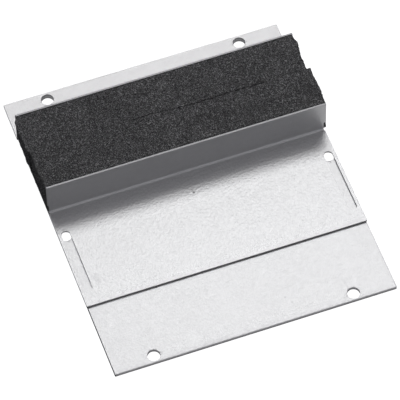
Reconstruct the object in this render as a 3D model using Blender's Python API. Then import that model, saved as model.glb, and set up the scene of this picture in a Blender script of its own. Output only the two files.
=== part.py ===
"""Cable entry flange: a flat sheet frame with a sliding foam clamp.

Metres, +Z up, origin at the centre of the frame's underside.
+Y points to the rear edge, where the fixed lip stands; the slider sits in front.
"""
import bpy
import bmesh
from math import cos, pi, sin

# ---------------------------------------------------------------- dimensions
MM = 0.001

# sheets
BASE_W = 155.2 * MM          # frame, across X
BASE_D = 182.0 * MM          # frame, along Y
BASE_T = 2.0 * MM            # frame sheet
FOLD_T = 1.0 * MM            # both folded sheets
FOLD_R = 1.0 * MM            # inside radius of the folds
LIE_GAP = 0.25 * MM          # folded sheets lie on the frame with this clearance
LIP_TOP = 25.1 * MM          # height of both lips over the frame's underside
EDGE_BREAK = 0.16 * MM       # rounding of the cut edges

# slider
SLIDER_W = 156.0 * MM        # the flat plate
LIP_ENDS = (-78.2 * MM, 78.8 * MM)   # the lip is a little longer
SLIDER_FRONT = -47.4 * MM    # front edge
SLIDER_LIP = 15.9 * MM       # front face of its lip
SLOT_X = 73.74 * MM
SLOT_W = 5.0 * MM
SLOT_Y0 = -36.9 * MM         # centre of the front round end
SLOT_Y1 = -0.72 * MM         # centre of the rear round end
NOTCH_X = 0.5 * MM           # relief notch at each end of the fold, into the plate
NOTCH_Y = 0.9 * MM           # in front of the lip
NOTCH_Z = 8.8 * MM           # up the lip
SLIDE_TRAVEL = 36.0 * MM     # rearward stroke that the slots allow

# rear angle
ANGLE_W = 157.0 * MM
ANGLE_LIP = 65.9 * MM        # front face of its lip
ANGLE_EDGE = 90.75 * MM      # rear edge of its flange

# holes
SCREW_D = 7.0 * MM
HOLE_X = 55.0 * MM
HOLE_Y_FRONT = -86.6 * MM
HOLE_Y_REAR = 86.05 * MM
REAR_SHIFT = 0.25 * MM       # the frame's rear holes sit this much further forward
GUIDE_D = 7.0 * MM           # holes in the frame under the slots
GUIDE_Y = -0.55 * MM

# cable opening in the frame
OPEN_W = 132.0 * MM
OPEN_Y0 = 20.0 * MM
OPEN_Y1 = 62.0 * MM
OPEN_R = 4.0 * MM

# foam strips
FOAM_GAP = 0.3 * MM          # clearance to the sheets and between the strips
FOAM_TOP = 25.0 * MM
FOAM_MID = 41.8 * MM         # the slit between the strips
# ends of the strips along X, left and right, at the foot and at the top
FRONT_ENDS = ((-78.0 * MM, -78.9 * MM), (78.4 * MM, 79.8 * MM))
REAR_ENDS = ((-78.4 * MM, -80.0 * MM), (77.6 * MM, 78.2 * MM))

ROUND_STEPS = 64             # segments of a full circle
FOLD_STEPS = 8               # segments of a quarter fold


# ---------------------------------------------------------------- helpers
def material(name, colour, roughness, metallic):
    mat = bpy.data.materials.new(name)
    mat.use_nodes = True
    bsdf = mat.node_tree.nodes["Principled BSDF"]
    bsdf.inputs["Base Color"].default_value = (*colour, 1.0)
    bsdf.inputs["Roughness"].default_value = roughness
    bsdf.inputs["Metallic"].default_value = metallic
    mat.diffuse_color = (*colour, 1.0)
    return mat


def add_object(name, bm, mat=None, parent=None, origin=(0.0, 0.0, 0.0)):
    """Turn a bmesh in world coordinates into an object with the given origin."""
    bmesh.ops.translate(bm, verts=bm.verts, vec=[-c for c in origin])
    bmesh.ops.recalc_face_normals(bm, faces=bm.faces)
    mesh = bpy.data.meshes.new(name)
    bm.to_mesh(mesh)
    bm.free()
    obj = bpy.data.objects.new(name, mesh)
    bpy.context.scene.collection.objects.link(obj)
    obj.location = origin
    if mat is not None:
        mesh.materials.append(mat)
    if parent is not None:
        obj.parent = parent
        obj.location = [o - p for o, p in zip(origin, parent.location)]
    return obj


def prism(outline, z0, z1):
    """A closed prism over an outline in the XY plane."""
    bm = bmesh.new()
    face = bm.faces.new([bm.verts.new((x, y, z0)) for x, y in outline])
    top = bmesh.ops.extrude_face_region(bm, geom=[face])
    verts = [g for g in top["geom"] if isinstance(g, bmesh.types.BMVert)]
    bmesh.ops.translate(bm, verts=verts, vec=(0.0, 0.0, z1 - z0))
    return bm


def arc(cx, cy, r, a0, a1, steps):
    return [(cx + r * cos(a0 + (a1 - a0) * i / steps),
             cy + r * sin(a0 + (a1 - a0) * i / steps)) for i in range(steps + 1)]


def circle_outline(cx, cy, r):
    return arc(cx, cy, r, 0.0, 2.0 * pi, ROUND_STEPS)[:-1]


def slot_outline(cx, y0, y1, width):
    """A stadium that runs along Y between two round ends."""
    half = ROUND_STEPS // 2
    return (arc(cx, y1, width / 2, 0.0, pi, half)
            + arc(cx, y0, width / 2, pi, 2.0 * pi, half))


def rounded_rectangle(x0, x1, y0, y1, r):
    q = ROUND_STEPS // 4
    return (arc(x1 - r, y1 - r, r, 0.0, pi / 2, q)
            + arc(x0 + r, y1 - r, r, pi / 2, pi, q)
            + arc(x0 + r, y0 + r, r, pi, 3 * pi / 2, q)
            + arc(x1 - r, y0 + r, r, 3 * pi / 2, 2 * pi, q))


def rectangle(x0, x1, y0, y1):
    return [(x0, y0), (x1, y0), (x1, y1), (x0, y1)]


def fold_profile(edge, lip, side, z0):
    """Section (y, z) of an L-shaped sheet: a flange from `edge` to a lip.

    `lip` is the lip face that looks away from the flange's far side when
    side is -1, and side says where the flange lies: -1 in front, +1 behind.
    """
    # distances along the flange direction, then mirrored with side
    inner = lip                                  # lip face on the flange's side
    cy = inner + side * FOLD_R
    cz = z0 + FOLD_T + FOLD_R
    outer_r = FOLD_R + FOLD_T
    pts = [(edge, z0)]
    for i in range(FOLD_STEPS + 1):
        a = pi / 2 * i / FOLD_STEPS
        pts.append((cy - side * outer_r * sin(a), cz - outer_r * cos(a)))
    pts.append((inner - side * FOLD_T, LIP_TOP))
    pts.append((inner, LIP_TOP))
    for i in range(FOLD_STEPS + 1):
        a = pi / 2 * (1 - i / FOLD_STEPS)
        pts.append((cy - side * FOLD_R * sin(a), cz - FOLD_R * cos(a)))
    pts.append((edge, z0 + FOLD_T))
    return pts


def folded_sheet(profile, x0, x1):
    bm = bmesh.new()
    face = bm.faces.new([bm.verts.new((x0, y, z)) for y, z in profile])
    grown = bmesh.ops.extrude_face_region(bm, geom=[face])
    verts = [g for g in grown["geom"] if isinstance(g, bmesh.types.BMVert)]
    bmesh.ops.translate(bm, verts=verts, vec=(x1 - x0, 0.0, 0.0))
    return bm


def cut(target, name, bm, origin=(0.0, 0.0, 0.0)):
    cutter = add_object(name, bm, parent=target.parent, origin=origin)
    cutter.hide_render = True
    cutter.display_type = "WIRE"
    mod = target.modifiers.new(name, "BOOLEAN")
    mod.operation = "DIFFERENCE"
    mod.solver = "EXACT"
    mod.object = cutter


def break_edges(obj):
    """Round the cut edges a little, as a punched sheet has them."""
    mod = obj.modifiers.new("edge_break", "BEVEL")
    mod.width = EDGE_BREAK
    mod.segments = 2
    mod.limit_method = "ANGLE"
    mod.angle_limit = 0.9
    mod.miter_outer = "MITER_ARC"
    mod.use_clamp_overlap = True


def foam_block(ends, y0, y1, z0, z1):
    """A block whose two ends lean a little, as a strip cut with a knife."""
    (lf, lt), (rf, rt) = ends
    bm = bmesh.new()
    bmesh.ops.create_cube(bm, size=1.0)
    for v in bm.verts:
        low, left = v.co.z < 0, v.co.x < 0
        x = (lf if low else lt) if left else (rf if low else rt)
        v.co = (x, y0 if v.co.y < 0 else y1, z0 if low else z1)
    return bm


# ---------------------------------------------------------------- the model
for old in list(bpy.data.objects):
    bpy.data.objects.remove(old, do_unlink=True)

zinc = material("galvanised_sheet", (0.74, 0.75, 0.76), 0.34, 1.0)
zinc_folded = material("galvanised_folded_sheet", (0.72, 0.73, 0.75), 0.32, 1.0)
zinc_slider = material("galvanised_slider_sheet", (0.70, 0.71, 0.73), 0.33, 1.0)
foam_a = material("charcoal_foam_front", (0.035, 0.036, 0.037), 0.95, 0.0)
foam_b = material("charcoal_foam_rear", (0.032, 0.033, 0.034), 0.95, 0.0)

Z_FOLD = BASE_T + LIE_GAP
THROUGH = (-5.0 * MM, 12.0 * MM)

# frame ------------------------------------------------------------
base = add_object("base_plate", prism(
    rectangle(-BASE_W / 2, BASE_W / 2, -BASE_D / 2, BASE_D / 2), 0.0, BASE_T), zinc)
cut(base, "cut_cable_opening", prism(
    rounded_rectangle(-OPEN_W / 2, OPEN_W / 2, OPEN_Y0, OPEN_Y1, OPEN_R), *THROUGH))
for side, tag in ((-1, "left"), (1, "right")):
    cut(base, "cut_front_hole_" + tag, prism(
        circle_outline(side * HOLE_X, HOLE_Y_FRONT, SCREW_D / 2), *THROUGH))
    cut(base, "cut_rear_hole_" + tag, prism(
        circle_outline(side * HOLE_X, HOLE_Y_REAR - REAR_SHIFT, SCREW_D / 2), *THROUGH))
    cut(base, "cut_guide_hole_" + tag, prism(
        circle_outline(side * SLOT_X, GUIDE_Y, GUIDE_D / 2), *THROUGH))
break_edges(base)

# rear angle ---------------------------------------------------------
angle = add_object("rear_angle", folded_sheet(
    fold_profile(ANGLE_EDGE, ANGLE_LIP + FOLD_T, 1, Z_FOLD), -ANGLE_W / 2, ANGLE_W / 2),
    zinc_folded)
for side, tag in ((-1, "left"), (1, "right")):
    cut(angle, "cut_angle_hole_" + tag, prism(
        circle_outline(side * HOLE_X, HOLE_Y_REAR, SCREW_D / 2), *THROUGH))
break_edges(angle)

# slider: everything on this empty moves along +Y ----------------------
slide_axis = bpy.data.objects.new("slide_axis", None)
bpy.context.scene.collection.objects.link(slide_axis)
slide_axis.location = (0.0, SLIDER_FRONT, Z_FOLD)
SLIDE_ORIGIN = tuple(slide_axis.location)

slider = add_object("slider_plate", folded_sheet(
    fold_profile(SLIDER_FRONT, SLIDER_LIP, -1, Z_FOLD), *LIP_ENDS),
    zinc_slider, slide_axis, SLIDE_ORIGIN)
for side, tag in ((-1, "left"), (1, "right")):
    cut(slider, "cut_slot_" + tag, prism(
        slot_outline(side * SLOT_X, SLOT_Y0, SLOT_Y1, SLOT_W), *THROUGH), SLIDE_ORIGIN)
    far, plate, notch = (side * (SLIDER_W / 2 + d) for d in (3 * MM, 0.0, -NOTCH_X))
    y0, y1, y2 = SLIDER_FRONT - 2 * MM, SLIDER_LIP - NOTCH_Y, SLIDER_LIP + FOLD_T + 2 * MM
    cut(slider, "cut_side_" + tag, prism(
        [(far, y0), (far, y2), (notch, y2), (notch, y1), (plate, y1), (plate, y0)][::side],
        0.0, NOTCH_Z), SLIDE_ORIGIN)
break_edges(slider)

# foam strips ----------------------------------------------------------
foam_foot = BASE_T + FOAM_GAP
front = add_object("foam_front", foam_block(
    FRONT_ENDS, SLIDER_LIP + FOLD_T + FOAM_GAP, FOAM_MID - FOAM_GAP / 2,
    foam_foot, FOAM_TOP), foam_a, slide_axis, SLIDE_ORIGIN)
rear = add_object("foam_rear", foam_block(
    REAR_ENDS, FOAM_MID + FOAM_GAP / 2, ANGLE_LIP - FOAM_GAP,
    foam_foot, FOAM_TOP), foam_b)

# round shapes are shaded smooth, flat ones stay crisp
for obj in (base, angle, slider):
    obj.data.shade_smooth()
    obj.data.set_sharp_from_angle(angle=0.6)
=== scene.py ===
"""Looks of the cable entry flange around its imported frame.

Metres, +Z up, +Y towards the rear edge. The three sheets are rebuilt with rolled and
sheared edges in the place of their CAD solids, and the foam strips with open cells.
"""

from math import cos, pi, radians, sin, sqrt

import bmesh
import bpy
import numpy as np
from mathutils import Matrix, Vector
from mathutils.geometry import delaunay_2d_cdt
from mathutils.kdtree import KDTree


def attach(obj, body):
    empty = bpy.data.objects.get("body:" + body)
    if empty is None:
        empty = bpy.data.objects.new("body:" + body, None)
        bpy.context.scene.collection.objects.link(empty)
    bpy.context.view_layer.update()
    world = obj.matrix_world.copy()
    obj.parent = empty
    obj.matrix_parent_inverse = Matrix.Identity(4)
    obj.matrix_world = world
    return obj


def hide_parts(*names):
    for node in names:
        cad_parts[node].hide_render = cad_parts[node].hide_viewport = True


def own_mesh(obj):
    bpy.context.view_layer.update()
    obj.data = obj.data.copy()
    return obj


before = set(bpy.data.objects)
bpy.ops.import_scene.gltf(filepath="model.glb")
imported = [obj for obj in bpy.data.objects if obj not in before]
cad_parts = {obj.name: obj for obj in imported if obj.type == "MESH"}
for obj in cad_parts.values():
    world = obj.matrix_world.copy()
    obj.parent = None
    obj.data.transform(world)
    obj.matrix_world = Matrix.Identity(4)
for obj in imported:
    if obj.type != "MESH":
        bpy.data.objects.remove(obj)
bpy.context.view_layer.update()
MM = 0.001
scene = bpy.context.scene

# ------------------------------------------------------------ dimensions (mm)
BASE_X, BASE_Y, BASE_T = 77.6, 91.0, 2.0
FOLD_T, FOLD_R = 1.0, 1.0
Z_FOLD = 2.25
LIP_TOP = 25.1
SLIDER_X, SLIDER_FRONT, SLIDER_LIP = 78.0, -47.4, 15.9
LIP_X0, LIP_X1, NOTCH_X, NOTCH_Y, NOTCH_Z = -78.2, 78.8, 77.5, 0.9, 8.8
SLOT_X, SLOT_W, SLOT_Y0, SLOT_Y1 = 73.74, 4.8, -36.3, -0.85
ANGLE_X, ANGLE_LIP, ANGLE_EDGE = 78.5, 65.9, 90.75
HOLE_R, HOLE_X, HOLE_YF, HOLE_YR, REAR_SHIFT = 3.38, 55.0, -86.6, 86.05, 0.25
GUIDE_R, GUIDE_Y = 3.4, -0.5
OPEN = (-66.0, 66.0, 20.0, 62.0, 4.0)
FOAM_FOOT, FOAM_TOP, FOAM_GAP, FOAM_MID = 2.3, 25.0, 0.3, 41.8


# ------------------------------------------------------------ small tools
def smooth(a, b, x):
    t = np.clip((np.asarray(x, float) - a) / (b - a), 0.0, 1.0)
    return t * t * (3.0 - 2.0 * t)


def wave(t, seed, size, count=5):
    """A smooth pseudo-random function of one coordinate, about -1 to 1."""
    rng = np.random.default_rng(seed)
    t = np.asarray(t, float)
    total = np.zeros_like(t)
    for k in range(count):
        f = (k + 1.0) * rng.uniform(0.7, 1.3) / size
        total += np.sin(2 * pi * f * t + rng.uniform(0, 2 * pi)) / (k + 1.0)
    return total / 1.6


def arc(cx, cy, r, a0, a1, steps):
    return [(cx + r * cos(a0 + (a1 - a0) * i / steps),
             cy + r * sin(a0 + (a1 - a0) * i / steps)) for i in range(steps + 1)]


def circle_loop(cx, cy, r, steps=72):
    return np.array(arc(cx, cy, r, 0, 2 * pi, steps)[:-1])


def slot_loop(cx, y0, y1, w, steps=30):
    side = [y0 + (y1 - y0) * i / 24 for i in range(1, 24)]
    pts = arc(cx, y1, w / 2, 0, pi, steps)
    pts += [(cx - w / 2, y) for y in reversed(side)]
    pts += arc(cx, y0, w / 2, pi, 2 * pi, steps)
    pts += [(cx + w / 2, y) for y in side]
    return np.array(pts)


def round_polygon(corners, radii, step, fine=()):
    """Closed loop over corners, each rounded, with points about `step` apart.

    `fine` holds (lowest y, highest y, step) bands in which the points lie closer.
    """
    n = len(corners)
    out = []
    for i in range(n):
        p = np.array(corners[i], float)
        a = np.array(corners[i - 1], float) - p
        b = np.array(corners[(i + 1) % n], float) - p
        a /= np.linalg.norm(a)
        b /= np.linalg.norm(b)
        r = radii[i]
        if r > 0:
            turn = np.arccos(np.clip(a @ b, -1, 1))
            cut = r / np.tan(turn / 2)
            centre = p + (a + b) / np.linalg.norm(a + b) * r / np.sin(turn / 2)
            s, e = p + a * cut - centre, p + b * cut - centre
            k = 5
            for j in range(k + 1):
                t = j / k
                v = s * (1 - t) + e * t
                out.append(centre + v / np.linalg.norm(v) * r)
        else:
            out.append(p)
    dense = []
    for i in range(len(out)):
        p, q = out[i], out[(i + 1) % len(out)]
        ts = [0.0]
        length = np.linalg.norm(q - p)
        if length > 1e-9:
            k = max(1, int(round(length / step)))
            ts += [j / k for j in range(1, k)]
            for lo, hi, fs in fine:
                if abs(q[1] - p[1]) > 1e-6:
                    for y in np.arange(lo, hi + fs / 2, fs):
                        t = (y - p[1]) / (q[1] - p[1])
                        if 0.0 < t < 1.0:
                            ts.append(t)
        ts = sorted(ts)
        keep = []
        for t in ts:
            if not keep or (t - keep[-1]) * max(length, 1e-9) > 0.06:
                keep.append(t)
        dense += [p + (q - p) * t for t in keep]
    return np.array(dense)


def inset(loop, d):
    """The closed loop moved to its left by d. Outlines run counter-clockwise, so it shrinks them."""
    prev = np.roll(loop, 1, axis=0)
    nxt = np.roll(loop, -1, axis=0)
    a = loop - prev
    b = nxt - loop
    a /= np.linalg.norm(a, axis=1)[:, None]
    b /= np.linalg.norm(b, axis=1)[:, None]
    na = np.stack([-a[:, 1], a[:, 0]], 1)
    nb = np.stack([-b[:, 1], b[:, 0]], 1)
    m = na + nb
    m /= (m * m).sum(1)[:, None] / 2.0
    return loop + m * d


def inside(pts, loop):
    """Even-odd test of many points against one closed loop."""
    x, y = pts[:, 0], pts[:, 1]
    hit = np.zeros(len(pts), bool)
    for i in range(len(loop)):
        x0, y0 = loop[i - 1]
        x1, y1 = loop[i]
        if y0 == y1:
            continue
        cross = ((y0 > y) != (y1 > y)) & (x < (x1 - x0) * (y - y0) / (y1 - y0) + x0)
        hit ^= cross
    return hit


def fill(outline, holes, grid, clear=0.45):
    """Triangles over an outline with holes, through the given inner points."""
    loops = [outline] + list(holes)
    if len(grid):
        grid = np.asarray(grid, float)
        ok = inside(grid, outline)
        for h in holes:
            ok &= ~inside(grid, h)
        grid = grid[ok]
        near = KDTree(sum(len(l) for l in loops))
        k = 0
        for l in loops:
            for p in l:
                near.insert((p[0], p[1], 0), k)
                k += 1
        near.balance()
        far = [near.find((g[0], g[1], 0))[2] > clear for g in grid]
        grid = grid[np.array(far, bool)] if len(grid) else grid
    pts = np.vstack(loops + ([grid] if len(grid) else []))
    edges, k = [], 0
    for l in loops:
        n = len(l)
        edges += [(k + i, k + (i + 1) % n) for i in range(n)]
        k += n
    verts, _, faces, orig, _, _ = delaunay_2d_cdt([Vector(p) for p in pts], edges, [], 0, 1e-7)
    index = [o[0] if o else -1 for o in orig]
    tri = np.array([[index[v] for v in f] for f in faces])
    tri = tri[(tri >= 0).all(1)]
    mid = pts[tri].mean(1)
    ok = inside(mid, outline)
    for h in holes:
        ok &= ~inside(mid, h)
    return pts, tri[ok]


def mesh_object(name, verts, faces, mats, face_mats=None, body=None, smooth_angle=0.55):
    mesh = bpy.data.meshes.new(name)
    mesh.from_pydata([tuple(v) for v in verts], [], [tuple(f) for f in faces])
    for m in mats:
        mesh.materials.append(m)
    if face_mats is not None:
        mesh.polygons.foreach_set("material_index", np.asarray(face_mats, np.int32))
    bm = bmesh.new()
    bm.from_mesh(mesh)
    bmesh.ops.recalc_face_normals(bm, faces=bm.faces)
    bm.to_mesh(mesh)
    bm.free()
    mesh.update()
    obj = bpy.data.objects.new(name, mesh)
    scene.collection.objects.link(obj)
    mesh.shade_smooth()
    if smooth_angle:
        mesh.set_sharp_from_angle(angle=smooth_angle)
        flat = obj.modifiers.new("flat_faces", "WEIGHTED_NORMAL")
        flat.keep_sharp = True
    if body:
        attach(obj, body)
    return obj


def sheet_mesh(name, outline, holes, thick, rolls, grid, grid_low, bend, mats, body):
    """A stamped sheet: rolled edge above, sheared wall, small burr edge below.

    outline and holes run so that material lies to their left; rolls gives per loop the
    rings (inset, drop below the top face) from the wall inwards. bend maps (x, y, t) with
    t the height over the underside to a point in space.
    """
    loops = [outline] + list(holes)
    verts, faces, kind = [], [], []
    tops, lows = [], []

    def add(points, t):
        start = len(verts)
        verts.extend(bend(points[:, 0], points[:, 1], np.broadcast_to(t, (len(points),))))
        return start

    def strip(a, b, n, m):
        for i in range(n):
            j = (i + 1) % n
            faces.append((a + i, a + j, b + j, b + i))
            kind.append(m)

    for loop, rings in zip(loops, rolls):
        n = len(loop)
        last = None
        for k, (d, drop) in enumerate(rings):          # from the wall towards the face
            points = inset(loop, d) if d else loop
            at = add(points, thick - drop)
            if last is not None:
                strip(last, at, n, 0)
            else:
                wall_top = at
            last = at
        tops.append((points, last))
        rough = add(loop, thick * 0.62)
        strip(rough, wall_top, n, 1)
        foot = add(loop, 0.07)
        strip(foot, rough, n, 1)
        low_points = inset(loop, 0.09)
        low = add(low_points, 0.0)
        strip(low, foot, n, 0)
        lows.append((low_points, low))

    for ends, inner, t in ((tops, grid, thick), (lows, grid_low, 0.0)):
        pts, tri = fill(ends[0][0], [e[0] for e in ends[1:]], inner)
        index, k = [], 0
        for loop, start in ends:
            index += [start + i for i in range(len(loop))]
            k += len(loop)
        if len(pts) > k:
            start = add(pts[k:], t)
            index += [start + i for i in range(len(pts) - k)]
        index = np.array(index)
        faces.extend(map(tuple, index[tri]))
        kind += [0] * len(tri)
    verts = np.array(verts) * MM
    return mesh_object(name, verts, faces, mats, kind, body)


# ------------------------------------------------------------ materials
def new_material(name):
    mat = bpy.data.materials.new(name)
    mat.use_nodes = True
    nt = mat.node_tree
    bsdf = nt.nodes["Principled BSDF"]
    return mat, nt, bsdf


def add_node(nt, kind, **values):
    n = nt.nodes.new(kind)
    for key, value in values.items():
        if key in n.inputs:
            n.inputs[key].default_value = value
        else:
            setattr(n, key, value)
    return n


def coords(nt, scale=(1, 1, 1)):
    tc = nt.nodes.new("ShaderNodeTexCoord")
    mp = nt.nodes.new("ShaderNodeMapping")
    mp.inputs["Scale"].default_value = scale
    nt.links.new(tc.outputs["Object"], mp.inputs["Vector"])
    return mp.outputs["Vector"]


def noise(nt, vec, scale, detail=3.0, rough=0.5):
    n = add_node(nt, "ShaderNodeTexNoise", Scale=scale, Detail=detail, Roughness=rough)
    nt.links.new(vec, n.inputs["Vector"])
    return n.outputs["Fac"]


def ramp(nt, fac, stops):
    r = nt.nodes.new("ShaderNodeValToRGB")
    while len(r.color_ramp.elements) < len(stops):
        r.color_ramp.elements.new(0.5)
    for e, (pos, col) in zip(r.color_ramp.elements, stops):
        e.position = pos
        e.color = (*col, 1.0) if len(col) == 3 else col
    nt.links.new(fac, r.inputs["Fac"])
    return r.outputs["Color"]


def spread(nt, fac, lo, hi, a, b):
    m = add_node(nt, "ShaderNodeMapRange")
    m.inputs["From Min"].default_value = lo
    m.inputs["From Max"].default_value = hi
    m.inputs["To Min"].default_value = a
    m.inputs["To Max"].default_value = b
    nt.links.new(fac, m.inputs["Value"])
    return m.outputs["Result"]


def math_node(nt, op, a, b):
    m = nt.nodes.new("ShaderNodeMath")
    m.operation = op
    for i, v in enumerate((a, b)):
        if isinstance(v, (int, float)):
            m.inputs[i].default_value = v
        else:
            nt.links.new(v, m.inputs[i])
    return m.outputs[0]


def mix_colour(nt, fac, a, b, mode="MIX"):
    m = nt.nodes.new("ShaderNodeMix")
    m.data_type = "RGBA"
    m.blend_type = mode
    for key, v in ((0, fac), (6, a), (7, b)):
        if isinstance(v, (int, float)):
            m.inputs[key].default_value = v
        elif isinstance(v, tuple):
            m.inputs[key].default_value = (*v, 1.0)
        else:
            nt.links.new(v, m.inputs[key])
    return m.outputs[2]


def spot(nt, centre, radius, inner=0.0):
    """1 at a point of the object, falling to 0 at radius (both in metres)."""
    tc = nt.nodes.new("ShaderNodeTexCoord")
    d = nt.nodes.new("ShaderNodeVectorMath")
    d.operation = "DISTANCE"
    nt.links.new(tc.outputs["Object"], d.inputs[0])
    d.inputs[1].default_value = centre
    return spread(nt, d.outputs["Value"], inner, radius, 1.0, 0.0)


def zinc(name, tint, rough, streak, mottle, marks=()):
    """Galvanised sheet: rolling streaks along X, a fine mottle and pale spangle."""
    mat, nt, bsdf = new_material(name)
    bsdf.inputs["Metallic"].default_value = 1.0
    fine = coords(nt)
    along = coords(nt, (0.05, 1.0, 1.0))
    spangle = add_node(nt, "ShaderNodeTexVoronoi", Scale=420.0, Randomness=1.0)
    nt.links.new(fine, spangle.inputs["Vector"])
    cloud = noise(nt, fine, 38.0, 4.0, 0.55)
    grain = noise(nt, fine, 700.0, 3.0, 0.6)
    lines = noise(nt, along, 900.0, 4.0, 0.65)
    base = ramp(nt, cloud, [(0.3, tuple(c * 0.985 for c in tint)), (0.7, tuple(min(1, c * 1.01) for c in tint))])
    cell = nt.nodes.new("ShaderNodeSeparateColor")
    nt.links.new(spangle.outputs["Color"], cell.inputs["Color"])
    cells = spread(nt, cell.outputs["Red"], 0.0, 1.0, 0.985, 1.01)
    grey = nt.nodes.new("ShaderNodeCombineColor")
    for k in ("Red", "Green", "Blue"):
        nt.links.new(cells, grey.inputs[k])
    colour = mix_colour(nt, 1.0, base, grey.outputs["Color"], "MULTIPLY")
    for centre, radius, inner, tone, amount in marks:
        m = spot(nt, centre, radius, inner)
        m = math_node(nt, "MULTIPLY", m, amount)
        colour = mix_colour(nt, m, colour, tone)
    nt.links.new(colour, bsdf.inputs["Base Color"])
    r = spread(nt, cloud, 0.3, 0.7, rough - 0.004, rough + 0.006)
    r = math_node(nt, "ADD", r, spread(nt, grain, 0.3, 0.7, -0.02, 0.02))
    nt.links.new(r, bsdf.inputs["Roughness"])
    b1 = add_node(nt, "ShaderNodeBump", Strength=mottle, Distance=0.0004)
    nt.links.new(noise(nt, fine, 800.0, 2.0, 0.5), b1.inputs["Height"])
    b2 = add_node(nt, "ShaderNodeBump", Strength=streak, Distance=0.0002)
    nt.links.new(lines, b2.inputs["Height"])
    nt.links.new(b1.outputs["Normal"], b2.inputs["Normal"])
    nt.links.new(b2.outputs["Normal"], bsdf.inputs["Normal"])
    return mat


def cut_edge(name):
    """Sheared wall of the sheet: bare steel, streaked across its thickness, with painted shade on its left ends."""
    mat, nt, bsdf = new_material(name)
    bsdf.inputs["Metallic"].default_value = 1.0
    up = coords(nt, (1.0, 1.0, 0.15))
    marks = noise(nt, up, 1800.0, 4.0, 0.7)
    col = ramp(nt, marks, [(0.3, (0.36, 0.36, 0.37)), (0.7, (0.55, 0.55, 0.56))])
    # painted shade: the left-facing walls of the flat sheets are painted darker, for the shade on the side away from
    # the lights
    tc = nt.nodes.new("ShaderNodeTexCoord")
    sep = nt.nodes.new("ShaderNodeSeparateXYZ")
    nt.links.new(tc.outputs["Object"], sep.inputs[0])
    left_wall_painted_shade = math_node(nt, "MULTIPLY", spread(nt, sep.outputs["X"], -0.0773, -0.0766, 0.55, 0.0),
                     spread(nt, sep.outputs["Z"], 0.0034, 0.0044, 1.0, 0.0))
    col = mix_colour(nt, left_wall_painted_shade, col, (0.10, 0.10, 0.105))
    nt.links.new(col, bsdf.inputs["Base Color"])
    nt.links.new(spread(nt, marks, 0.3, 0.7, 0.34, 0.46), bsdf.inputs["Roughness"])
    b = add_node(nt, "ShaderNodeBump", Strength=0.5, Distance=0.0001)
    nt.links.new(marks, b.inputs["Height"])
    nt.links.new(b.outputs["Normal"], bsdf.inputs["Normal"])
    return mat


def foam_material(name, tone):
    """Charcoal open-cell foam with painted light and shade; the attribute `cell` is 0 on the cell walls and 1 deep
    in pores.
    """
    mat, nt, bsdf = new_material(name)
    at = nt.nodes.new("ShaderNodeAttribute")
    at.attribute_name = "cell"
    vec = coords(nt)
    v = add_node(nt, "ShaderNodeTexVoronoi", Scale=1900.0, Randomness=1.0)
    v.feature = "DISTANCE_TO_EDGE"
    nt.links.new(vec, v.inputs["Vector"])
    # painted light and shade: lighter along the cell edges, darker towards the cell middles
    fine = spread(nt, v.outputs["Distance"], 0.0, 0.35, 1.5, 0.5)
    big = spread(nt, noise(nt, vec, 60.0, 3.0, 0.6), 0.3, 0.7, 0.85, 1.15)
    # painted highlight and shade: lighter on the cell walls, darker deep in the pores
    pore_light_and_shade = ramp(nt, at.outputs["Fac"], [(0.0, tuple(c * 2.1 for c in tone)), (0.35, tone),
                                          (1.0, tuple(c * 0.42 for c in tone))])
    grey = nt.nodes.new("ShaderNodeCombineColor")
    f = math_node(nt, "MULTIPLY", fine, big)
    glint = spread(nt, noise(nt, vec, 2100.0, 1.0, 0.5), 0.50, 0.70, 0.7, 3.7)
    f = math_node(nt, "MULTIPLY", f, glint)
    for k in ("Red", "Green", "Blue"):
        nt.links.new(f, grey.inputs[k])
    nt.links.new(mix_colour(nt, 1.0, pore_light_and_shade, grey.outputs["Color"], "MULTIPLY"), bsdf.inputs["Base Color"])
    bsdf.inputs["Roughness"].default_value = 0.78
    bsdf.inputs["Specular IOR Level"].default_value = 0.25
    b = add_node(nt, "ShaderNodeBump", Strength=0.6, Distance=0.0003)
    nt.links.new(v.outputs["Distance"], b.inputs["Height"])
    nt.links.new(b.outputs["Normal"], bsdf.inputs["Normal"])
    return mat


steel_base = zinc("zinc_base", (0.85, 0.852, 0.856), 0.38, 0.34, 0.22,
                  [((0.0207, -0.0767, 0.002), 0.0008, 0.0002, (0.35, 0.35, 0.35), 0.35),
                   ((0.0230, -0.0809, 0.002), 0.0009, 0.0002, (0.35, 0.35, 0.35), 0.30)])
steel_slider = zinc("zinc_slider", (0.806, 0.808, 0.813), 0.355, 0.03, 0.36,
                    [((-0.0016, 0.0014, 0.00325), 0.0010, 0.0003, (0.10, 0.10, 0.10), 0.80),
                     ((-0.0018, 0.0030, 0.00325), 0.0007, 0.0001, (0.20, 0.20, 0.20), 0.40),
                     ((-0.0680, -0.0314, 0.00325), 0.0036, 0.0002, (0.55, 0.55, 0.56), 0.32),
                     ((-0.0671, -0.0345, 0.00325), 0.0020, 0.0002, (0.50, 0.50, 0.51), 0.30),
                     ((-0.0777, -0.0100, 0.00325), 0.0018, 0.0001, (0.40, 0.40, 0.41), 0.35),
                     ((-0.0778, -0.0165, 0.00325), 0.0022, 0.0001, (0.40, 0.40, 0.41), 0.35)])
steel_angle = zinc("zinc_angle", (0.815, 0.812, 0.815), 0.38, 0.36, 0.22)
steel_edge = cut_edge("sheared_edge")
foam_dark = foam_material("charcoal_foam", (0.099, 0.099, 0.1))


# ------------------------------------------------------------ the frame sheet
def grid_points(x0, x1, y0, y1, dx, dy, rows=()):
    xs = np.linspace(x0, x1, int(round((x1 - x0) / dx)) + 1)
    ys = np.linspace(y0, y1, int(round((y1 - y0) / dy)) + 1)
    ys = np.unique(np.concatenate([ys, np.asarray(rows, float)])) if len(rows) else ys
    gx, gy = np.meshgrid(xs, ys)
    return np.stack([gx.ravel(), gy.ravel()], 1)


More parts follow.
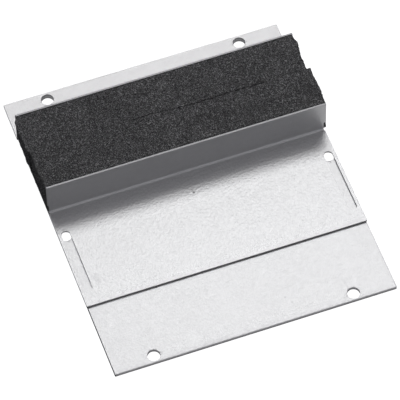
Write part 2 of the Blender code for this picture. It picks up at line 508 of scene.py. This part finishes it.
def edge_drop(x, y, hx, hy, depth, width):
    """How far a sheared sheet's top face rolls down towards its straight edges."""
    d = np.minimum(hy - np.abs(y), hx - np.abs(x))
    return depth * np.exp(-(np.maximum(d, 0.0) / width) ** 1.4)


def bend_base(x, y, t):
    top = smooth(1.2, 2.0, t)
    front = 0.10 * np.exp(-np.maximum(y + BASE_Y, 0) / 0.75)
    z = t - top * (edge_drop(x, y, BASE_X, BASE_Y, 0.05, 0.6) + front)
    return np.stack([x, y, z], 1)


ROLL = [(0.0, 0.24), (0.04, 0.13), (0.11, 0.05), (0.22, 0.012), (0.34, 0.0)]
ROLL_HOLE = [(0.0, 0.12), (0.03, 0.05), (0.07, 0.015), (0.12, 0.0)]

rows = [-BASE_Y + d for d in (0.55, 0.8, 1.1, 1.5, 2.1, 3.0)]
rows += [BASE_Y - d for d in (0.55, 0.9, 1.6, 3.0)]
base_outline = round_polygon([(-BASE_X, -BASE_Y), (BASE_X, -BASE_Y), (BASE_X, BASE_Y), (-BASE_X, BASE_Y)],
                             [0.55, 0.6, 0.6, 0.55], 1.6)
base_holes = []
for s in (-1, 1):
    base_holes.append(circle_loop(s * HOLE_X, HOLE_YF, HOLE_R)[::-1])
    base_holes.append(circle_loop(s * HOLE_X, HOLE_YR - REAR_SHIFT, HOLE_R)[::-1])
    base_holes.append(circle_loop(s * SLOT_X, GUIDE_Y, GUIDE_R)[::-1])
x0, x1, y0, y1, r = OPEN
base_holes.append(round_polygon([(x0, y0), (x1, y0), (x1, y1), (x0, y1)], [r] * 4, 1.6)[::-1])
base = sheet_mesh("base_sheet", base_outline, base_holes, BASE_T,
                  [ROLL] + [ROLL_HOLE] * len(base_holes),
                  np.vstack([grid_points(-77.0, 77.0, -90.4, 90.4, 4.0, 4.0, rows)]),
                  grid_points(-76, 76, -90, 90, 8.0, 8.0), bend_base,
                  [steel_base, steel_edge], "base")
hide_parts("base_plate")


# ------------------------------------------------------------ folded sheets
def folded(y_edge, side, lip):
    """bend for an L-shaped sheet whose flat pattern runs from its flange edge (y 0) up the lip."""
    flat = abs(lip - y_edge) - FOLD_R
    run = (FOLD_R + FOLD_T / 2) * pi / 2

    def bend(x, v, t):
        a = np.clip((v - flat) / run, 0.0, 1.0) * pi / 2
        rho = FOLD_R + FOLD_T - t
        past = np.maximum(v - flat - run, 0.0)
        before = np.minimum(v, flat)
        along = before + rho * np.sin(a)
        up = FOLD_T + FOLD_R - rho * np.cos(a) + past
        return np.stack([x, y_edge + side * along, Z_FOLD + up], 1)

    top = flat + run + LIP_TOP - (Z_FOLD + FOLD_T + FOLD_R)
    return bend, flat, run, top


def fold_rows(flat, run):
    return [flat + run * i / 14 for i in range(15)]


# slider
bend_s, flat_s, run_s, top_s = folded(SLIDER_FRONT, 1, SLIDER_LIP)
n0 = SLIDER_LIP - NOTCH_Y - SLIDER_FRONT
n1 = flat_s + run_s + NOTCH_Z - (Z_FOLD + FOLD_T + FOLD_R)
corners = [(-SLIDER_X, 0), (SLIDER_X, 0), (SLIDER_X, n0), (NOTCH_X, n0), (NOTCH_X, n1), (LIP_X1, n1),
           (LIP_X1, top_s), (LIP_X0, top_s), (LIP_X0, n1), (-NOTCH_X, n1), (-NOTCH_X, n0), (-SLIDER_X, n0)]
fine = [(flat_s, flat_s + run_s, run_s / 14)]
slider_outline = round_polygon(corners, [0.4, 0.4, 0.24, 0.24, 0.3, 0.3, 0.5, 0.5, 0.3, 0.3, 0.24, 0.24], 1.5, fine)
slots = [slot_loop(s * SLOT_X, SLOT_Y0 - SLIDER_FRONT, SLOT_Y1 - SLIDER_FRONT, SLOT_W)[::-1] for s in (-1, 1)]
ROLL_S = [(0.0, 0.16), (0.03, 0.08), (0.08, 0.03), (0.15, 0.007), (0.22, 0.0)]
ROLL_SLOT = [(0.0, 0.06), (0.02, 0.02), (0.05, 0.0)]
grid_s = np.vstack([
    grid_points(-77.0, 77.0, 0.8, flat_s - 0.6, 4.0, 4.0),
    grid_points(-77.0, 77.0, flat_s, flat_s + run_s, 2.0, run_s / 14),
    grid_points(-77.0, 77.0, flat_s + run_s + 0.6, top_s - 0.8, 4.0, 4.0),
])
slider = sheet_mesh("slider_sheet", slider_outline, slots, FOLD_T, [ROLL_S, ROLL_SLOT, ROLL_SLOT], grid_s, grid_s,
                    bend_s, [steel_slider, steel_edge], "slider")
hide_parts("slider_plate")

# rear angle
bend_a, flat_a, run_a, top_a = folded(ANGLE_EDGE, -1, ANGLE_LIP + FOLD_T)
fine = [(flat_a, flat_a + run_a, run_a / 14)]
angle_outline = round_polygon([(-ANGLE_X, 0), (ANGLE_X, 0), (ANGLE_X, top_a), (-ANGLE_X, top_a)],
                              [0.5, 0.5, 0.5, 0.5], 1.5, fine)
angle_holes = [circle_loop(s * HOLE_X, ANGLE_EDGE - HOLE_YR, HOLE_R)[::-1] for s in (-1, 1)]
grid_a = np.vstack([
    grid_points(-77.5, 77.5, 0.8, flat_a - 0.6, 4.0, 4.0),
    grid_points(-77.5, 77.5, flat_a, flat_a + run_a, 2.0, run_a / 14),
    grid_points(-77.5, 77.5, flat_a + run_a + 0.6, top_a - 0.8, 4.0, 4.0),
])
angle = sheet_mesh("angle_sheet", angle_outline, angle_holes, FOLD_T, [ROLL_S, ROLL_HOLE, ROLL_HOLE], grid_a, grid_a,
                   bend_a, [steel_angle, steel_edge], "base")
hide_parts("rear_angle")


# ------------------------------------------------------------ foam strips
def foam_strip(name, y_front, y_back, x_left, x_right, slit, dense_y, seed, body, node):
    """An open-cell block. x_left and x_right give the end's x at (y, z); slit moves one long face.

    y_front and y_back are the long faces; slit is "back" or "front", the face at the slit.
    """
    nx = 560
    step = 0.30
    xs = np.linspace(-1, 1, nx)
    ys = np.linspace(0, 1, int(round((y_back - y_front) / step)) + 1)
    zs_end = np.linspace(0, 1, int(round((FOAM_TOP - FOAM_FOOT) / 0.33)) + 1)
    verts, faces, key = [], [], {}

    def vertex(u, v, w):
        k = (round(u, 5), round(v, 5), round(w, 5))
        if k not in key:
            key[k] = len(verts)
            verts.append(k)
        return key[k]

    def side(u_of, boundary, grid):
        pts, tri = fill(boundary, [], grid, clear=0.004)
        ids = [vertex(*u_of(p)) for p in pts]
        for a, b, c in tri:
            faces.append((ids[a], ids[b], ids[c]))

    def ring(a, b):
        """Closed boundary over the unit ranges a x b, with their own steps."""
        pts = [(p, b[0]) for p in a[:-1]] + [(a[-1], q) for q in b[:-1]]
        pts += [(p, b[-1]) for p in a[::-1][:-1]] + [(a[0], q) for q in b[::-1][:-1]]
        return np.array(pts)

    def full(a, b):
        gx, gy = np.meshgrid(a[1:-1], b[1:-1])
        return np.stack([gx.ravel(), gy.ravel()], 1)

    half = 78.5
    depth, high = y_back - y_front, FOAM_TOP - FOAM_FOOT
    ax, ay, az = xs * half, ys * depth, zs_end * high
    coarse = lambda arr, k: np.unique(np.concatenate([arr[::k], arr[-1:]]))
    # top and bottom
    side(lambda p: (p[0], p[1], high), ring(ax, ay), full(ax, ay))
    low_grid = full(coarse(ax, 2), coarse(ay, 2))
    side(lambda p: (p[0], p[1], 0.0), ring(ax, ay), low_grid)
    # ends
    for s in (-1, 1):
        side(lambda p, s=s: (s * half, p[0], p[1]), ring(ay, az), full(ay, az))
    # long faces
    for v in (0.0, depth):
        g = full(coarse(ax, 5), coarse(az, 5))
        side(lambda p, v=v: (p[0], v, p[1]), ring(ax, az), g)
    uvw = np.array(verts)
    u, v, w = uvw[:, 0] / half, uvw[:, 1] / depth, uvw[:, 2] / high
    # the block's own shape
    y = y_front + v * depth
    z = FOAM_FOOT + w * high
    at_slit, towards = (v, 1) if slit == "back" else (1 - v, -1)
    y = y + at_slit ** 3 * slit_wave(u * half, z)
    shut = 1 - smooth(-30, -16, u * half) * (1 - smooth(50, 58, u * half))
    lip = (at_slit > 1 - 1e-6) & (w > 0.93)
    y = y + lip * towards * (0.12 * shut - 0.16 * (1 - shut))
    xl, xr = x_left(y, z), x_right(y, z)
    x = xl + (u + 1) / 2 * (xr - xl)
    z = z + smooth(0.9, 1.0, w) * 0.12 * wave(x, seed + 5, 60.0)
    pos = np.stack([x, y, z], 1)
    # outward direction of the plain block, averaged on its edges
    n = np.zeros_like(pos)
    eps = 1e-6
    n[:, 0] = np.where(u < -1 + eps, -1, np.where(u > 1 - eps, 1, 0))
    n[:, 1] = np.where(v < eps, -1, np.where(v > 1 - eps, 1, 0))
    n[:, 2] = np.where(w < eps, -1, np.where(w > 1 - eps, 1, 0))
    n /= np.linalg.norm(n, axis=1)[:, None]
    n[lip & (w > 1 - eps)] = (0, 0, 1)
    # cells
    rng = np.random.default_rng(seed)
    size = 0.85
    lo, hi = pos.min(0) - 2, pos.max(0) + 2
    axes = [np.arange(lo[i], hi[i], size) for i in range(3)]
    gx, gy, gz = np.meshgrid(*axes, indexing="ij")
    seeds = np.stack([gx.ravel(), gy.ravel(), gz.ravel()], 1)
    seeds += rng.uniform(-0.48, 0.48, seeds.shape) * size
    shell = 2.0
    near = ((seeds[:, 1] < y_front + shell) | (seeds[:, 1] > y_back - shell) | (seeds[:, 2] > FOAM_TOP - shell)
            | (seeds[:, 2] < FOAM_FOOT + shell) | (seeds[:, 0] < -75) | (seeds[:, 0] > 75))
    seeds = seeds[near]
    strength = rng.uniform(0.25, 1.0, len(seeds))
    tree = KDTree(len(seeds))
    for i, p in enumerate(seeds):
        tree.insert(p, i)
    tree.balance()
    cell = np.zeros(len(pos))
    for i, p in enumerate(pos):
        (c1, i1, d1), (c2, i2, d2) = tree.find_n(p, 2)
        open_ = min(1.0, (d2 - d1) / (0.55 * size))
        cell[i] = open_ ** 0.8 * strength[i1]
    hidden = (v < eps) | (v > 1 - eps)
    amount = np.where(hidden & (w < 1 - eps), 0.12, 0.62)
    pos = pos - n * (cell * amount)[:, None]
    obj = mesh_object(name, pos * MM, faces, [foam_dark], None, None, smooth_angle=None)
    a = obj.data.attributes.new("cell", "FLOAT", "POINT")
    a.data.foreach_set("value", cell.astype(np.float32))
    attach(obj, body)
    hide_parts(node)
    return obj


def slit_wave(x, z):
    """How far the slit between the strips leaves its straight line."""
    return np.interp(x, [-80, -45, -22, -11, 3, 16, 34, 45, 60, 80],
                     [0.1, 0.3, 0.4, 0.7, -0.5, -0.7, -0.3, -0.7, -0.5, 0.0]) + 0.12 * wave(x, 3, 26.0)


def ends(points, seed, rag):
    """x of a strip's end as a function of y and z, from (y, x at the foot, x at the top)."""
    ys = [p[0] for p in points]
    foot = [p[1] for p in points]
    top = [p[2] for p in points]

    def at(y, z):
        w = np.clip((z - FOAM_FOOT) / (FOAM_TOP - FOAM_FOOT), 0, 1)
        base = np.interp(y, ys, foot) * (1 - w) + np.interp(y, ys, top) * w
        return base + rag * wave(y * 1.3 + z * 0.4, seed, 17.0) + rag * 0.6 * wave(z - y * 0.5, seed + 1, 11.0)
    return at


foam_front = foam_strip(
    "foam_strip_front", SLIDER_LIP + FOLD_T + FOAM_GAP, FOAM_MID - FOAM_GAP / 2,
    ends([(17, -77.9, -78.3), (31, -78.0, -78.7), (42, -78.0, -78.7)], 11, 0.18),
    ends([(17, 79.2, 78.9), (26, 79.4, 79.5), (42, 78.8, 79.4)], 12, 0.16),
    "back", None, 21, "slider", "foam_front")
foam_rear = foam_strip(
    "foam_strip_rear", FOAM_MID + FOAM_GAP / 2, ANGLE_LIP - FOAM_GAP,
    ends([(42, -78.2, -79.6), (60, -78.2, -80.2), (62.6, -78.0, -80.1), (64.3, -77.8, -79.2), (65.7, -77.4, -77.4)],
         13, 0.2),
    ends([(42, 77.2, 77.3), (51, 77.5, 77.8), (58, 77.8, 78.8), (60.5, 78.0, 79.3), (63, 78.0, 78.2),
          (65.9, 77.8, 78.1)], 14, 0.16),
    "front", None, 22, "base", "foam_rear")

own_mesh(foam_front)
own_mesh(foam_rear)


# ------------------------------------------------------------ stage, light, camera
def plane(name, size, z, mat):
    mesh = bpy.data.meshes.new(name)
    s = size / 2
    mesh.from_pydata([(-s, -s, z), (s, -s, z), (s, s, z), (-s, s, z)], [], [(0, 1, 2, 3)])
    mesh.materials.append(mat)
    obj = bpy.data.objects.new(name, mesh)
    scene.collection.objects.link(obj)
    return obj


paper, nt, bsdf = new_material("paper_floor")
bsdf.inputs["Base Color"].default_value = (0.9, 0.9, 0.9, 1)
bsdf.inputs["Roughness"].default_value = 1.0
bsdf.inputs["Emission Color"].default_value = (1, 1, 1, 1)
bsdf.inputs["Emission Strength"].default_value = 1.0
floor = plane("floor", 30.0, -0.0002, paper)
floor.visible_diffuse = False
floor.visible_glossy = False
floor.visible_transmission = False
bounce, nt, bsdf = new_material("bounce_floor")
bsdf.inputs["Base Color"].default_value = (0.8, 0.8, 0.8, 1)
bsdf.inputs["Roughness"].default_value = 1.0
bsdf.inputs["Emission Color"].default_value = (1, 1, 1, 1)
bsdf.inputs["Emission Strength"].default_value = 0.20
under = plane("bounce_floor", 6.0, -0.0001, bounce)
dark, nt, bsdf = new_material("dark_card")
bsdf.inputs["Base Color"].default_value = (0.10, 0.10, 0.10, 1)
bsdf.inputs["Roughness"].default_value = 1.0
card = plane("dark_card", 1.0, -0.00005, dark)
card.location = (-0.5771, 0.38, 0.0)
for obj in (under, card):
    obj.visible_camera = False
    obj.visible_shadow = False
    obj.visible_diffuse = False


def tent(name, radius, stops, lower, weaker):
    """A pale fabric ring around the set, seen only in the metal; stops are (elevation, strength).

    On the front side it is lower, by a share of its height, and weaker.
    """
    top = radius * sin(radians(stops[-1][0])) / cos(radians(stops[-1][0]))
    mat = bpy.data.materials.new(name)
    mat.use_nodes = True
    nt = mat.node_tree
    nt.nodes.clear()
    tc = nt.nodes.new("ShaderNodeTexCoord")
    sep = nt.nodes.new("ShaderNodeSeparateXYZ")
    nt.links.new(tc.outputs["Object"], sep.inputs[0])
    h = spread(nt, sep.outputs["Z"], 0.0, top, 0.0, 1.0)
    h = math_node(nt, "ADD", h, spread(nt, sep.outputs["Y"], -0.9 * radius, -0.3 * radius, lower, 0.0))
    at = [radius * sin(radians(e)) / cos(radians(e)) / top for e, _ in stops]
    tone = ramp(nt, h, [(t, (0.985 * v, 0.98 * v, 1.04 * v)) for t, (_, v) in zip(at, stops)])
    em = nt.nodes.new("ShaderNodeEmission")
    out = nt.nodes.new("ShaderNodeOutputMaterial")
    nt.links.new(tone, em.inputs["Color"])
    nt.links.new(spread(nt, sep.outputs["Y"], -0.9 * radius, -0.3 * radius, weaker, 1.0), em.inputs["Strength"])
    nt.links.new(em.outputs[0], out.inputs["Surface"])
    n = 96
    ring = [(radius * cos(2 * pi * i / n), radius * sin(2 * pi * i / n)) for i in range(n)]
    mesh = bpy.data.meshes.new(name)
    mesh.from_pydata([(x, y, 0.0) for x, y in ring] + [(x, y, top) for x, y in ring], [],
                     [(i, (i + 1) % n, n + (i + 1) % n, n + i) for i in range(n)])
    mesh.materials.append(mat)
    obj = bpy.data.objects.new(name, mesh)
    scene.collection.objects.link(obj)
    obj.visible_camera = False
    obj.visible_shadow = False
    obj.visible_diffuse = False
    return obj


def area(name, direction, distance, size, power, colour=(1, 1, 1), size_y=None):
    data = bpy.data.lights.new(name, "AREA")
    data.shape = "RECTANGLE"
    data.size = size
    data.size_y = size_y or size
    data.energy = power
    data.color = colour
    obj = bpy.data.objects.new(name, data)
    d = Vector(direction).normalized()
    obj.location = d * distance
    obj.rotation_mode = "QUATERNION"
    obj.rotation_quaternion = d.to_track_quat("Z", "Y")
    scene.collection.objects.link(obj)
    return obj


el, az = radians(56.0), radians(30.0)
area("key", (sin(az) * cos(el), cos(az) * cos(el), sin(el)), 4.0, 1.60, 12.0, size_y=1.30)
el, az = radians(57.0), radians(-4.0)
area("wing", (sin(az) * cos(el), cos(az) * cos(el), sin(el)), 4.0, 1.40, 6.9, size_y=1.30)
area("top_fill", (0.12, 0.0, 1.0), 2.4, 1.8, 5.0, (0.97, 0.96, 1.0))
fills = [area("front_low", (0.25, -0.85, 0.42), 2.6, 1.5, 2.8, (0.95, 0.94, 1.0), size_y=1.1),
         area("front_high", (0.45, -0.55, 0.85), 2.6, 1.2, 0.30, (0.86, 0.83, 1.0)),
         area("left_fill", (-1.0, -0.55, 0.45), 2.6, 1.2, 0.55)]
for lamp in fills:
    lamp.visible_glossy = False

tent("tent", 5.0, [(0.0, 0.10), (12.0, 0.30), (22.0, 0.60), (34.0, 0.60), (39.0, 0.0)], 0.16, 0.72)

world = bpy.data.worlds.new("studio")
scene.world = world
world.use_nodes = True
bg = world.node_tree.nodes["Background"]
bg.inputs["Color"].default_value = (0.96, 0.95, 1.0, 1)
bg.inputs["Strength"].default_value = 0.055

scene.view_settings.view_transform = "Standard"
scene.view_settings.look = "None"
scene.view_settings.exposure = 0.0
scene.view_settings.gamma = 1.0

AZ, EL, ROLL_CAM = radians(-18.563), radians(55.377), radians(-1.517)
DIST, LENS = 1.9681, 334.4
d = Vector((sin(AZ) * cos(EL), -cos(AZ) * cos(EL), sin(EL)))
fwd = -d
right = fwd.cross(Vector((0, 0, 1))).normalized()
up = right.cross(fwd)
r_ax = right * cos(ROLL_CAM) + up * sin(ROLL_CAM)
u_ax = -right * sin(ROLL_CAM) + up * cos(ROLL_CAM)
cam_data = bpy.data.cameras.new("camera")
cam_data.lens = LENS
cam_data.sensor_width = 36.0
cam_data.clip_start = 0.05
cam_data.clip_end = 100.0
cam = bpy.data.objects.new("camera", cam_data)
scene.collection.objects.link(cam)
m = Matrix((r_ax, u_ax, d)).transposed().to_4x4()
m.translation = d * DIST + r_ax * 0.001307 + u_ax * -0.001694
cam.matrix_world = m
scene.camera = cam

bpy.context.view_layer.update()
